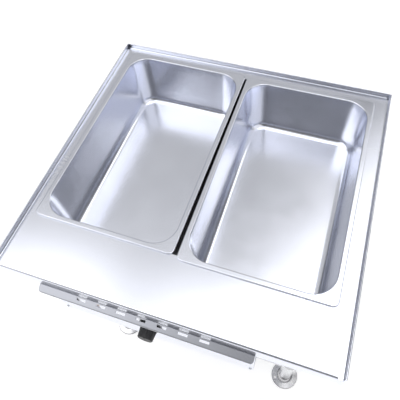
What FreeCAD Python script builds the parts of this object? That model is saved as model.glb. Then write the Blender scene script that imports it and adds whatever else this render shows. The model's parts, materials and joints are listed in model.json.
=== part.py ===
"""Two-pan steam table on legs: folded stainless top, shared water bath, lift-out pans.

Every sub-part is written to parts/NODE.step. Units are millimetres, +Z is up and the
front faces -Y. The origin is on the floor, at the centre of the overall footprint.
Places across the top are measured from its left side (across) and from the face of
its front lip (back), and heights from the floor.
"""
import FreeCAD, Part
import math
import os

Vec = FreeCAD.Vector
X_AXIS = Vec(1, 0, 0)
Y_AXIS = Vec(0, 1, 0)
Z_AXIS = Vec(0, 0, 1)

# ---- top ----
TOP_W = 716.0              # across the side aprons
TOP_D = 683.0              # front lip to back apron
DECK_Z = 860.0             # working surface
SHEET = 1.5                # top's sheet
APRON_H = 38.0
APRON_RETURN = 8.0
RIM_H = 13.0               # upright hemmed edge on three sides
RIM_W = 4.0                # over the hem's two thicknesses
RIM_BEND = 1.2             # the hem's two upper bends, at mid-sheet
RIM_SWEEP = 3.0            # bend from the upright into the deck, at mid-sheet
RIM_FOOT = 14.0            # where the plain deck starts
APRON_BEND = 2.0
LIP_BEND = 4.5
BACK_NOTCH = 12.0          # the side rims stop this far short of the back
SIDE_NOTCH = 9.0           # the back rim stops this far short of each side
NOTCH_DROP = 3.0           # the aprons round the open corners stay lower than the rims
KNOB_REACH = 24.0          # knob's front face ahead of the lip
CUT_LEFT = 33.75           # one shared cut-out for both pans
CUT_W = 638.5
CUT_FRONT = 130.0
CUT_D = 517.0
CUT_R = 25.0

# ---- pans, 1/1 size, 150 deep ----
PAN_W = 325.0
PAN_L = 530.0
PAN_FLANGE = 11.5
PAN_DEPTH = 150.0
PAN_TAPER = 11.0           # each side, rim to floor
PAN_SHEET = 0.8
PAN_RIM_R = 13.0
PAN_MOUTH_R = 52.0
PAN_FLOOR_R = 42.0
PAN_FILLET = 18.0
PAN_EDGE = 1.6             # outer radius of the rim's turned-down edge
PAN_ROLL = 2.3             # radius over which the rim rolls into the wall
PAN_UNDER_ROLL = 3.0       # the same roll on the underside
PAN_RISE = 4.5             # rim's top above the deck
LEFT_PAN = (25.25, 127.0, -0.36)     # across, back, turn in degrees
RIGHT_PAN = (356.75, 120.0, 0.05)

# ---- water bath and its casing ----
BATH_MARGIN = 6.0          # bath wall outside the cut-out
BATH_SHEET = 1.2
BATH_FLOOR_Z = 650.0
BATH_R = 12.0
BATH_FLANGE = 12.0
WOOL = 15.0
WOOL_GAP = 1.2
SKIN = 1.0                 # casing sheet
SKIN_RETURN = 14.0

# ---- underframe ----
LEG_INSET_X = 66.0
LEG_FRONT = 150.0
LEG_BACK = 622.0
LEG_R = 20.5
LEG_WALL = 1.5
FOOT_H = 60.0
RAIL_W = 50.0
RAIL_H = 25.0
RAIL_SHEET = 2.0
SOCKET_PLATE = 4.0
SOCKET_BOLT_X = 14.0
SOCKET_BOLT_Y = 34.0
SHELF_Z = 250.0
SHELF_SHEET = 1.2
SHELF_LIP = 34.0
SHELF_NOTCH = 46.0
CLAMP_REACH = 48.0

# ---- controls ----
BOX_LEFT = 96.75
BOX_W = 460.0
FASCIA_SET = 8.0           # fascia behind the lip's face
BOX_TOP_Z = DECK_Z - APRON_H
BOX_BOTTOM_Z = 645.0
BOX_SHEET = 1.2
HOOD_REACH = 14.0
HOOD_DROP = 6.0
HOOD_LIP = 4.0             # height of the hood's turned-down front
HOOD_R = 6.0               # its front corners, seen from above
SLOTS = 7                  # drip slots along the hood
SLOT_LENGTH = 20.0
SLOT_PITCH = 44.0
SLOT_REACH = (6.5, 2.0)    # the slots' two long sides, ahead of the lip's face
SLOT_MARGIN = (BOX_W - SLOT_PITCH * (SLOTS - 1) - SLOT_LENGTH) / 2
CONTROL_Z = 748.0
ELEMENT_Z = 668.0
ELEMENT_R = 4.0
ELEMENT_RUNS = ((150.0, 230.0), (440.0, 520.0))
ROCKER_AT = 150.0
ROCKER_PIVOT = 1.5         # behind the fascia's front
ROCKER_PIN_R = 1.2
LAMPS_AT = (205.0, 240.0)
KNOB_AT = 330.0
LIMIT_AT = 430.0
GLAND_BACK = 52.0
GLAND_Z = 692.0

# ---- drain ----
DRAIN_AT = (590.0, 250.0)
DRAIN_R = 10.48
VALVE_Z = 572.0
VALVE_BACK = 170.0

# ---- worked out ----
X_LEFT = -TOP_W / 2
X_RIGHT = TOP_W / 2
Y_LIP = -(TOP_D + KNOB_REACH) / 2 + KNOB_REACH
Y_BACK = Y_LIP + TOP_D
UNDER_Z = DECK_Z - SHEET


def across(a):
    """Model X of a distance from the top's left side."""
    return X_LEFT + a


def back(b):
    """Model Y of a distance behind the lip's face."""
    return Y_LIP + b


BATH_X0 = across(CUT_LEFT - BATH_MARGIN)
BATH_X1 = across(CUT_LEFT + CUT_W + BATH_MARGIN)
BATH_Y0 = back(CUT_FRONT - BATH_MARGIN)
BATH_Y1 = back(CUT_FRONT + CUT_D + BATH_MARGIN)
CASE_GAP = BATH_SHEET + WOOL + WOOL_GAP
CASE_X0 = BATH_X0 - CASE_GAP
CASE_X1 = BATH_X1 + CASE_GAP
CASE_Y0 = BATH_Y0 - CASE_GAP
CASE_Y1 = BATH_Y1 + CASE_GAP
CASE_Z0 = BATH_FLOOR_Z - CASE_GAP
FRAME_Z = CASE_Z0 - SKIN                 # underside of the casing
RAIL_BOTTOM_Z = FRAME_Z - RAIL_H
LEG_TOP_Z = RAIL_BOTTOM_Z - SOCKET_PLATE
FASCIA_Y = back(FASCIA_SET)
BOX_BACK_Y = CASE_Y0 - SKIN
LEG_SPOTS = {
    "front_left": (across(LEG_INSET_X), back(LEG_FRONT)),
    "front_right": (across(TOP_W - LEG_INSET_X), back(LEG_FRONT)),
    "rear_left": (across(LEG_INSET_X), back(LEG_BACK)),
    "rear_right": (across(TOP_W - LEG_INSET_X), back(LEG_BACK)),
}
PARTS = {}


# ---- shape helpers ----
def box(x0, x1, y0, y1, z0, z1):
    return Part.makeBox(x1 - x0, y1 - y0, z1 - z0, Vec(x0, y0, z0))


def rod(x, y, z, radius, length, axis=Z_AXIS):
    return Part.makeCylinder(radius, length, Vec(x, y, z), axis)


def ring(x, y, z, outer, inner, length, axis=Z_AXIS):
    return rod(x, y, z, outer, length, axis).cut(rod(x, y, z, inner, length, axis))


def hexagon(x, y, z, flats, length, axis=Z_AXIS):
    """A hexagonal prism of that width across its flats."""
    corner = flats / math.sqrt(3)
    points = []
    for i in range(7):
        turn = math.radians(60 * i)
        points.append(Vec(corner * math.cos(turn), corner * math.sin(turn), 0))
    prism = Part.Face(Part.makePolygon(points)).extrude(Vec(0, 0, length))
    prism.Placement = FreeCAD.Placement(Vec(x, y, z), FreeCAD.Rotation(Z_AXIS, axis))
    return prism


def fuse(first, *others):
    joined = first
    for other in others:
        joined = joined.fuse(other)
    return joined.removeSplitter()


def group(shapes):
    return Part.makeCompound(shapes)


def rounded_wire(points, radii):
    """A closed wire through the points, each corner an arc of its own radius."""
    edges = []
    starts = []
    ends = []
    middles = []
    count = len(points)
    for i in range(count):
        here = points[i]
        to_last = (points[i - 1] - here).normalize()
        to_next = (points[(i + 1) % count] - here).normalize()
        if radii[i] <= 0:
            starts.append(here)
            ends.append(here)
            middles.append(None)
            continue
        half = to_last.getAngle(to_next) / 2
        leg = radii[i] / math.tan(half)
        to_centre = (to_last + to_next).normalize()
        depth = radii[i] / math.sin(half)
        starts.append(here + to_last * leg)
        ends.append(here + to_next * leg)
        middles.append(here + to_centre * (depth - radii[i]))
    for i in range(count):
        if middles[i] is not None:
            edges.append(Part.Arc(starts[i], middles[i], ends[i]).toShape())
        run_end = starts[(i + 1) % count]
        if (run_end - ends[i]).Length > 1e-6:
            edges.append(Part.LineSegment(ends[i], run_end).toShape())
    return Part.Wire(edges)


def rounded_rect(x0, x1, y0, y1, z, radius):
    points = [Vec(x0, y0, z), Vec(x1, y0, z), Vec(x1, y1, z), Vec(x0, y1, z)]
    return rounded_wire(points, [radius] * 4)


def rounded_slab(x0, x1, y0, y1, z0, z1, radius):
    face = Part.Face(rounded_rect(x0, x1, y0, y1, z0, radius))
    return face.extrude(Vec(0, 0, z1 - z0))


def folded(points, bends, thickness, place, sweep):
    """Folded sheet: a section along a centreline of (u, v) points, swept straight.

    bends holds the centreline radius at each inner point, and place turns (u, v)
    into a point of the model.
    """
    sides = ([], [])
    count = len(points)
    for i in range(count):
        here = Vec(points[i][0], points[i][1], 0)
        if i in (0, count - 1):
            other = points[1] if i == 0 else points[count - 2]
            run = (Vec(other[0], other[1], 0) - here).normalize()
            if i == count - 1:
                run = run * -1
            left = Vec(-run.y, run.x, 0)
            for side, sign in ((0, 1), (1, -1)):
                sides[side].append((here + left * (sign * thickness / 2),))
            continue
        run_in = (here - Vec(points[i - 1][0], points[i - 1][1], 0)).normalize()
        run_out = (Vec(points[i + 1][0], points[i + 1][1], 0) - here).normalize()
        turn = 1 if run_in.x * run_out.y - run_in.y * run_out.x > 0 else -1
        angle = run_in.getAngle(run_out)
        bend = bends[i - 1]
        leg = bend * math.tan(angle / 2)
        left_in = Vec(-run_in.y, run_in.x, 0)
        left_out = Vec(-run_out.y, run_out.x, 0)
        centre = here - run_in * leg + left_in * (turn * bend)
        for side, sign in ((0, 1), (1, -1)):
            radius = bend - sign * turn * thickness / 2
            start = here - run_in * leg + left_in * (sign * thickness / 2)
            end = here + run_out * leg + left_out * (sign * thickness / 2)
            middle = centre + (here - centre).normalize() * radius
            sides[side].append((start, middle, end))
    outline = []
    for side in (sides[0], [tuple(reversed(s)) for s in reversed(sides[1])]):
        outline.extend(side)
    edges = []
    last = None
    for stretch in outline + outline[:1]:
        spots = [place(p.x, p.y) for p in stretch]
        if last is not None:
            edges.append(Part.LineSegment(last, spots[0]).toShape())
        if len(spots) == 3:
            edges.append(Part.Arc(*spots).toShape())
        last = spots[-1]
    return Part.Face(Part.Wire(edges)).extrude(sweep)


def pipe_run(points, bend, radius):
    """A round bar or wire: straight runs joined by tangent arcs of one radius."""
    edges = []
    last = points[0]
    for i in range(1, len(points) - 1):
        here = points[i]
        to_last = (points[i - 1] - here).normalize()
        to_next = (points[i + 1] - here).normalize()
        half = to_last.getAngle(to_next) / 2
        leg = bend / math.tan(half)
        depth = bend / math.sin(half) - bend
        start = here + to_last * leg
        end = here + to_next * leg
        middle = here + (to_last + to_next).normalize() * depth
        if (start - last).Length > 1e-6:
            edges.append(Part.LineSegment(last, start).toShape())
        edges.append(Part.Arc(start, middle, end).toShape())
        last = end
    edges.append(Part.LineSegment(last, points[-1]).toShape())
    first_run = (points[1] - points[0]).normalize()
    section = Part.Wire(Part.makeCircle(radius, points[0], first_run))
    return Part.Wire(edges).makePipeShell([section], True, False)


def turned(profile, x, y, z, axis):
    """A round part: (radius, height) points turned about the axis through (x, y, z)."""
    points = [Vec(r, 0, h) for r, h in profile]
    face = Part.Face(Part.makePolygon(points + points[:1]))
    solid = face.revolve(Vec(0, 0, 0), Z_AXIS, 360)
    solid.Placement = FreeCAD.Placement(Vec(x, y, z), FreeCAD.Rotation(Z_AXIS, axis))
    return solid


# ---- top ----
def rim_section():
    """Apron, upright hemmed rim and the bend into the deck, seen from the rim's end."""
    half = SHEET / 2
    points = [
        (APRON_RETURN, DECK_Z - APRON_H + half),
        (half, DECK_Z - APRON_H + half),
        (half, DECK_Z + RIM_H - half),
        (RIM_W - half, DECK_Z + RIM_H - half),
        (RIM_W - half, DECK_Z - half),
        (RIM_FOOT, DECK_Z - half),
    ]
    return points, [APRON_BEND, RIM_BEND, RIM_BEND, RIM_SWEEP]


def countertop():
    rim_points, rim_bends = rim_section()
    side_len = TOP_D - BACK_NOTCH
    left = folded(rim_points, rim_bends, SHEET,
                  lambda u, v: Vec(X_LEFT + u, Y_LIP, v), Vec(0, side_len, 0))
    right = folded(rim_points, rim_bends, SHEET,
                   lambda u, v: Vec(X_RIGHT - u, Y_LIP, v), Vec(0, side_len, 0))
    rear = folded(rim_points, rim_bends, SHEET,
                  lambda u, v: Vec(X_LEFT + SIDE_NOTCH, Y_BACK - u, v),
                  Vec(TOP_W - 2 * SIDE_NOTCH, 0, 0))
    half = SHEET / 2
    lip_points = [
        (APRON_RETURN, DECK_Z - APRON_H + half),
        (half, DECK_Z - APRON_H + half),
        (half, DECK_Z - half),
        (RIM_FOOT, DECK_Z - half),
    ]
    lip = folded(lip_points, [APRON_BEND, LIP_BEND], SHEET,
                 lambda u, v: Vec(X_LEFT, Y_LIP + u, v), Vec(TOP_W, 0, 0))
    deck = box(X_LEFT + RIM_FOOT, X_RIGHT - RIM_FOOT, Y_LIP + RIM_FOOT, Y_BACK - RIM_FOOT,
               UNDER_Z, DECK_Z)
    shapes = [deck, left, right, rear, lip]
    # the side and back aprons run on round the open corners, without the rim
    corner_top = DECK_Z + RIM_H - NOTCH_DROP
    for x0, x1 in ((X_LEFT, X_LEFT + SHEET), (X_RIGHT - SHEET, X_RIGHT)):
        shapes.append(box(x0, x1, Y_BACK - BACK_NOTCH, Y_BACK, DECK_Z - APRON_H, corner_top))
    for x0, x1 in ((X_LEFT, X_LEFT + SIDE_NOTCH), (X_RIGHT - SIDE_NOTCH, X_RIGHT)):
        shapes.append(box(x0, x1, Y_BACK - SHEET, Y_BACK, DECK_Z - APRON_H, corner_top))
    # a closed end on each side rim, above the lip's bend
    for side in (-1, 1):
        outline = [(half, UNDER_Z), (half, DECK_Z + RIM_H - half),
                   (RIM_W - half, DECK_Z + RIM_H - half), (RIM_W - half, UNDER_Z)]
        corners = [Vec(side * (TOP_W / 2 - u), Y_LIP, v) for u, v in outline]
        cap = rounded_wire(corners, [0, RIM_BEND, RIM_BEND, 0])
        shapes.append(Part.Face(cap).extrude(Vec(0, SHEET, 0)))
    top = fuse(*shapes)
    cut = rounded_slab(across(CUT_LEFT), across(CUT_LEFT + CUT_W), back(CUT_FRONT),
                       back(CUT_FRONT + CUT_D), UNDER_Z - 1, DECK_Z + 1, CUT_R)
    return top.cut(cut)


def front_stiffener():
    """Hat channel under the front of the deck, behind the lip."""
    half = SHEET / 2
    points = [(-32, UNDER_Z - half), (-18, UNDER_Z - half), (-14, UNDER_Z - 19),
              (14, UNDER_Z - 19), (18, UNDER_Z - half), (32, UNDER_Z - half)]
    return folded(points, [2.0, 2.0, 2.0, 2.0], SHEET,
                  lambda u, v: Vec(X_LEFT + 22, back(56) + u, v), Vec(TOP_W - 44, 0, 0))


# ---- pans ----
def pan(spot):
    """Deep-drawn pan whose turned-down rim stands on the deck."""
    x0 = across(spot[0])
    y0 = back(spot[1])
    x1 = x0 + PAN_W
    y1 = y0 + PAN_L
    rim_z = DECK_Z + PAN_RISE
    floor_z = rim_z - PAN_DEPTH

    def bowl(grow, low, high, fillet):
        """The pan's inside, or its outside when grown by the sheet's thickness."""
        inset = PAN_FLANGE - grow
        foot = inset + PAN_TAPER
        mouth = rounded_rect(x0 + inset, x1 - inset, y0 + inset, y1 - inset, high,
                             PAN_MOUTH_R + grow)
        base = rounded_rect(x0 + foot, x1 - foot, y0 + foot, y1 - foot, low,
                            PAN_FLOOR_R + grow)
        solid = Part.makeLoft([base, mouth], True, True)
        rim_edges = [e for e in solid.Edges if e.BoundBox.ZMax < low + 1e-3]
        return solid.makeFillet(fillet, rim_edges)

    outside = bowl(PAN_SHEET, floor_z, rim_z - PAN_SHEET, PAN_FILLET + PAN_SHEET)
    inside = bowl(0, floor_z + PAN_SHEET, rim_z, PAN_FILLET)
    cap = rounded_slab(x0, x1, y0, y1, DECK_Z, rim_z, PAN_RIM_R)
    cap = cap.makeFillet(PAN_EDGE, [e for e in cap.Edges if e.BoundBox.ZMin > rim_z - 1e-3])
    t = PAN_SHEET
    hollow = rounded_slab(x0 + t, x1 - t, y0 + t, y1 - t, DECK_Z, rim_z - PAN_SHEET,
                          PAN_RIM_R - t)
    hollow = hollow.makeFillet(PAN_EDGE - t, [e for e in hollow.Edges
                                     if e.BoundBox.ZMin > rim_z - PAN_SHEET - 1e-3])
    shape = cap.cut(hollow).fuse(outside)
    seam_z = rim_z - PAN_SHEET
    seam = [e for e in shape.Edges if abs(e.BoundBox.ZMin - seam_z) < 1e-3
            and abs(e.BoundBox.ZMax - seam_z) < 1e-3
            and e.BoundBox.XMin > x0 + PAN_FLANGE - 2 and e.BoundBox.XMax < x1 - PAN_FLANGE + 2]
    shape = shape.makeFillet(PAN_UNDER_ROLL, seam)
    shape = shape.cut(inside)
    mouth = [e for e in shape.Edges if e.BoundBox.ZMin > rim_z - 1e-3
             and e.BoundBox.XMin > x0 + PAN_FLANGE - 2 and e.BoundBox.XMax < x1 - PAN_FLANGE + 2]
    shape = shape.makeFillet(PAN_ROLL, mouth)
    shape.rotate(Vec((x0 + x1) / 2, (y0 + y1) / 2, 0), Z_AXIS, spot[2])
    return shape


# ---- bath ----
def element_spots():
    return [run for pair in ELEMENT_RUNS for run in pair]


def water_bath():
    t = BATH_SHEET
    outer = rounded_slab(BATH_X0 - t, BATH_X1 + t, BATH_Y0 - t, BATH_Y1 + t,
                         BATH_FLOOR_Z - t, UNDER_Z, BATH_R + t)
    f = BATH_FLANGE
    flange = rounded_slab(BATH_X0 - f, BATH_X1 + f, BATH_Y0 - f, BATH_Y1 + f,
                          UNDER_Z - t, UNDER_Z, BATH_R + f)
    inner = rounded_slab(BATH_X0, BATH_X1, BATH_Y0, BATH_Y1, BATH_FLOOR_Z, UNDER_Z + 1, BATH_R)
    tank = fuse(outer, flange).cut(inner)
    for run in element_spots():
        tank = tank.cut(rod(across(run), BATH_Y0 - 3, ELEMENT_Z, ELEMENT_R + 0.5, 6, Y_AXIS))
    tank = tank.cut(rod(across(KNOB_AT), BATH_Y0 - 3, ELEMENT_Z, 5.0, 6, Y_AXIS))
    return tank.cut(rod(across(DRAIN_AT[0]), back(DRAIN_AT[1]), BATH_FLOOR_Z - 4, 14.0, 8))


def side_wool():
    gap = BATH_SHEET + 0.4
    low = BATH_FLOOR_Z - BATH_SHEET
    high = UNDER_Z - BATH_SHEET - 1
    outer = rounded_slab(BATH_X0 - gap - WOOL, BATH_X1 + gap + WOOL, BATH_Y0 - gap - WOOL,
                         BATH_Y1 + gap + WOOL, low, high, BATH_R + WOOL)
    inner = rounded_slab(BATH_X0 - gap, BATH_X1 + gap, BATH_Y0 - gap, BATH_Y1 + gap,
                         low, high, BATH_R + gap)
    band = outer.cut(inner)
    for pair in ELEMENT_RUNS:
        band = band.cut(box(across(pair[0]) - 26, across(pair[1]) + 26, BATH_Y0 - 30, BATH_Y0,
                            ELEMENT_Z - 22, ELEMENT_Z + 22))
    return band.cut(box(across(KNOB_AT) - 12, across(KNOB_AT) + 12, BATH_Y0 - 30, BATH_Y0,
                        ELEMENT_Z - 12, ELEMENT_Z + 12))


def floor_wool():
    slab = box(BATH_X0 - WOOL, BATH_X1 + WOOL, BATH_Y0 - WOOL, BATH_Y1 + WOOL,
               CASE_Z0 + 0.6, BATH_FLOOR_Z - BATH_SHEET - 0.4)
    return slab.cut(rod(across(DRAIN_AT[0]), back(DRAIN_AT[1]), CASE_Z0 - 2, 22, 40))


def element_guard():
    """Perforated plate that keeps the pans off the elements."""
    x0 = BATH_X0 + 30
    x1 = BATH_X1 - 30
    top_z = ELEMENT_Z + 22
    points = [(x0, BATH_FLOOR_Z + 0.1), (x0, top_z), (x1, top_z), (x1, BATH_FLOOR_Z + 0.1)]
    y0 = BATH_Y0 + 24
    y1 = BATH_Y1 - 24
    plate = folded(points, [3.0, 3.0], SHEET, lambda u, v: Vec(u, y0, v), Vec(0, y1 - y0, 0))
    for i in range(9):
        for j in range(6):
            x = x0 + (x1 - x0) * (i + 0.5) / 9
            y = y0 + (y1 - y0) * (j + 0.5) / 6
            plate = plate.cut(rod(x, y, top_z - 3, 9.0, 6))
    return plate


def heating_element(pair):
    """Hairpin tube with both ends passing forward into the control box."""
    radius = (pair[1] - pair[0]) / 2
    front = BOX_BACK_Y - 12
    far = BATH_Y1 - 60
    points = [Vec(across(pair[0]), front, ELEMENT_Z), Vec(across(pair[0]), far, ELEMENT_Z),
              Vec(across(pair[1]), far, ELEMENT_Z), Vec(across(pair[1]), front, ELEMENT_Z)]
    return pipe_run(points, radius - 0.5, ELEMENT_R)


def element_flange(pair):
    """Plate with its gasket land that seals the hairpin's two ends to the bath wall."""
    y1 = BATH_Y0 - BATH_SHEET
    plate = box(across(pair[0]) - 22, across(pair[1]) + 22, y1 - 5, y1 - 1.5,
                ELEMENT_Z - 18, ELEMENT_Z + 18)
    for run in pair:
        plate = plate.cut(rod(across(run), y1 - 6, ELEMENT_Z, ELEMENT_R + 0.1, 8, Y_AXIS))
    return plate


def element_gasket(pair):
    y1 = BATH_Y0 - BATH_SHEET
    pad = box(across(pair[0]) - 20, across(pair[1]) + 20, y1 - 1.5, y1,
              ELEMENT_Z - 16, ELEMENT_Z + 16)
    for run in pair:
        pad = pad.cut(rod(across(run), y1 - 3, ELEMENT_Z, ELEMENT_R + 0.1, 5, Y_AXIS))
    return pad


# ---- casing ----
def casing_side(x_outer, sign):
    """Side panel with a return flange at the front and at the back."""
    half = SKIN / 2
    web = x_outer + sign * half
    tip = x_outer + sign * SKIN_RETURN
    points = [(tip, CASE_Y0 + half), (web, CASE_Y0 + half), (web, CASE_Y1 - half),
              (tip, CASE_Y1 - half)]
    return folded(points, [1.2, 1.2], SKIN, lambda u, v: Vec(u, v, FRAME_Z),
                  Vec(0, 0, UNDER_Z - BATH_SHEET - FRAME_Z))


def casing_front():
    panel = box(CASE_X0 - SKIN, CASE_X1 + SKIN, BOX_BACK_Y, CASE_Y0, FRAME_Z, UNDER_Z)
    for run in element_spots():
        panel = panel.cut(rod(across(run), BOX_BACK_Y - 2, ELEMENT_Z, 8.0, 6, Y_AXIS))
    return panel.cut(rod(across(KNOB_AT), BOX_BACK_Y - 2, ELEMENT_Z, 6.0, 6, Y_AXIS))


def casing_rear():
    return box(CASE_X0 - SKIN, CASE_X1 + SKIN, CASE_Y1, CASE_Y1 + SKIN, FRAME_Z, UNDER_Z)


def casing_bottom():
    panel = box(CASE_X0 + SKIN, CASE_X1 - SKIN, CASE_Y0 + SKIN, CASE_Y1 - SKIN, FRAME_Z, CASE_Z0)
    panel = panel.cut(rod(across(DRAIN_AT[0]), back(DRAIN_AT[1]), FRAME_Z - 2, 17, 6))
    for spot in LEG_SPOTS.values():
        for bolt in bolt_spots(spot):
            panel = panel.cut(rod(bolt[0], bolt[1], FRAME_Z - 2, 7, 6))
    return panel


# ---- underframe ----
def bolt_spots(spot):
    return [(spot[0] + i * SOCKET_BOLT_X, spot[1] + j * SOCKET_BOLT_Y)
            for i in (-1, 1) for j in (-1, 1)]


def rail(x):
    """Channel under the casing that the leg sockets bolt to."""
    half = RAIL_SHEET / 2
    edge = RAIL_W / 2 - half
    points = [(x - edge, FRAME_Z), (x - edge, RAIL_BOTTOM_Z + half),
              (x + edge, RAIL_BOTTOM_Z + half), (x + edge, FRAME_Z)]
    y0 = back(LEG_FRONT) - 45
    y1 = back(LEG_BACK) + 45
    channel = folded(points, [3.0, 3.0], RAIL_SHEET, lambda u, v: Vec(u, y0, v),
                     Vec(0, y1 - y0, 0))
    for y in (back(LEG_FRONT), back(LEG_BACK)):
        for bolt in bolt_spots((x, y)):
            channel = channel.cut(rod(bolt[0], bolt[1], RAIL_BOTTOM_Z - 2, 4.5, 8))
    return channel


def leg_socket(spot):
    x, y = spot
    sleeve = ring(x, y, LEG_TOP_Z - 55, LEG_R + 3.5, LEG_R + 0.15, 55)
    plate = rounded_slab(x - 32, x + 32, y - 46, y + 46, LEG_TOP_Z, RAIL_BOTTOM_Z, 8)
    socket = sleeve.fuse(plate)
    for bolt in bolt_spots(spot):
        socket = socket.cut(rod(bolt[0], bolt[1], LEG_TOP_Z - 1, 4.5, SOCKET_PLATE + 2))
    side = 1 if x < 0 else -1
    return socket.cut(rod(x, y, LEG_TOP_Z - 30, 3.2, LEG_R + 8, X_AXIS * side))


def leg(spot):
    return ring(spot[0], spot[1], FOOT_H, LEG_R, LEG_R - LEG_WALL, LEG_TOP_Z - FOOT_H)


def leg_insert(spot):
    """Threaded plug in the leg's lower end; its thread is a plain bore."""
    return ring(spot[0], spot[1], FOOT_H, LEG_R - LEG_WALL - 0.05, 6.05, 30)


def foot(spot):
    """Levelling foot with a flange that bolts to a vehicle's floor."""
    profile = [(0, 0), (44, 0), (44, 4), (42.5, 5.5), (26, 8), (19, 20), (17.5, 34), (17.5, 38),
               (19.5, 40), (19.5, FOOT_H), (6, FOOT_H), (6, FOOT_H + 42), (5, FOOT_H + 44),
               (0, FOOT_H + 44)]
    body = turned(profile, spot[0], spot[1], 0, Z_AXIS)
    for i in range(3):
        turn = math.radians(90 + 120 * i)
        body = body.cut(rod(spot[0] + 34 * math.cos(turn), spot[1] + 34 * math.sin(turn),
                            -1, 4.0, 12))
    return body


def undershelf():
    """Shelf with turned-down edges and a notch at each leg."""
    x0 = across(LEG_INSET_X) - 22
    x1 = across(TOP_W - LEG_INSET_X) + 22
    y0 = back(LEG_FRONT) - 22
    y1 = back(LEG_BACK) + 22
    half = SHELF_SHEET / 2
    top = SHELF_Z - half
    low = SHELF_Z - SHELF_LIP
    lengthways = folded([(x0 + half, low), (x0 + half, top), (x1 - half, top), (x1 - half, low)],
                        [3.0, 3.0], SHELF_SHEET, lambda u, v: Vec(u, y0 + SHELF_NOTCH, v),
                        Vec(0, y1 - y0 - 2 * SHELF_NOTCH, 0))
    crossways = folded([(y0 + half, low), (y0 + half, top), (y1 - half, top), (y1 - half, low)],
                       [3.0, 3.0], SHELF_SHEET, lambda u, v: Vec(x0 + SHELF_NOTCH, u, v),
                       Vec(x1 - x0 - 2 * SHELF_NOTCH, 0, 0))
    shelf = lengthways.fuse(crossways).removeSplitter()
    for spot in LEG_SPOTS.values():
        x, y = clamp_bolt(spot)
        shelf = shelf.cut(rod(x, y, SHELF_Z - 4, 3.3, 8))
    return shelf


def clamp_bolt(spot):
    """Where a clamp's tab is bolted to the shelf, on the diagonal towards the middle."""
    reach = CLAMP_REACH / math.sqrt(2)
    x = spot[0] + (reach if spot[0] < 0 else -reach)
    y = spot[1] + (reach if spot[1] < back(TOP_D / 2) else -reach)
    return x, y


def shelf_clamp(spot):
    x, y = spot
    bolt_x, bolt_y = clamp_bolt(spot)
    turn = math.degrees(math.atan2(bolt_y - y, bolt_x - x))
    under = SHELF_Z - SHELF_SHEET
    tab = box(x + 18, x + CLAMP_REACH + 12, y - 12, y + 12, under - 5, under)
    tab.rotate(Vec(x, y, 0), Z_AXIS, turn)
    body = rod(x, y, under - 26, LEG_R + 5.5, 26).fuse(tab)
    body = body.cut(rod(x, y, under - 30, LEG_R + 0.15, 40))
    return body.cut(rod(bolt_x, bolt_y, under - 8, 3.3, 12))


# ---- controls ----
def control_box():
    """Folded housing under the lip: sloped hood, top, ends and bottom."""
    x0 = across(BOX_LEFT)
    x1 = x0 + BOX_W
    t = BOX_SHEET
    top = box(x0, x1, back(0), BOX_BACK_Y, BOX_TOP_Z - t, BOX_TOP_Z)
    slope = [Vec(x0, back(0), BOX_TOP_Z - t), Vec(x0, back(0), BOX_TOP_Z),
             Vec(x0, back(-HOOD_REACH), BOX_TOP_Z - HOOD_DROP),
             Vec(x0, back(-HOOD_REACH), BOX_TOP_Z - HOOD_DROP - HOOD_LIP),
             Vec(x0, back(-HOOD_REACH + t), BOX_TOP_Z - HOOD_DROP - HOOD_LIP),
             Vec(x0, back(-HOOD_REACH + t), BOX_TOP_Z - HOOD_DROP - t)]
    hood = Part.Face(rounded_wire(slope, [0, 0, 2.0, 0, 0, 0])).extrude(Vec(BOX_W, 0, 0))
    shapes = [top, hood]
    shapes.append(box(x0, x1, FASCIA_Y + 2, BOX_BACK_Y, BOX_BOTTOM_Z, BOX_BOTTOM_Z + t))
    shapes.append(box(x0, x0 + t, FASCIA_Y + 2, BOX_BACK_Y, BOX_BOTTOM_Z, BOX_TOP_Z))
    shapes.append(box(x1 - t, x1, FASCIA_Y + 2, BOX_BACK_Y, BOX_BOTTOM_Z, BOX_TOP_Z))
    # flanges that take the fascia's screws
    for a0, a1 in ((x0, x0 + 14), (x1 - 14, x1)):
        shapes.append(box(a0, a1, FASCIA_Y + 2, FASCIA_Y + 2 + t, BOX_BOTTOM_Z, BOX_TOP_Z))
    housing = fuse(*shapes)
    # plan-rounded front corners of the hood
    for x, inward in ((x0, 1), (x1, -1)):
        centre = x + inward * HOOD_R
        corner = box(min(x, centre), max(x, centre), back(-HOOD_REACH - 1),
                     back(-HOOD_REACH + HOOD_R), BOX_TOP_Z - 30, BOX_TOP_Z + 1)
        keep = rod(centre, back(-HOOD_REACH + HOOD_R), BOX_TOP_Z - 30, HOOD_R, 31)
        housing = housing.cut(corner.cut(keep))
    # drip slots along the hood, ahead of the lip
    for i in range(SLOTS):
        a = x0 + SLOT_MARGIN + SLOT_PITCH * i
        housing = housing.cut(box(a, a + SLOT_LENGTH, back(-SLOT_REACH[0]), back(-SLOT_REACH[1]),
                                  BOX_TOP_Z - 12, BOX_TOP_Z + 2))
    housing = housing.cut(rod(x1 - 4, back(GLAND_BACK), GLAND_Z, 10.2, 8, X_AXIS))
    for x, z in fascia_screw_spots():
        housing = housing.cut(rod(x, FASCIA_Y, z, 1.8, 8, Y_AXIS))
    return housing


def fascia_screw_spots():
    x0 = across(BOX_LEFT) + 7
    x1 = across(BOX_LEFT + BOX_W) - 7
    return [(x, z) for x in (x0, x1) for z in (BOX_BOTTOM_Z + 16, BOX_TOP_Z - 26)]


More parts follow.
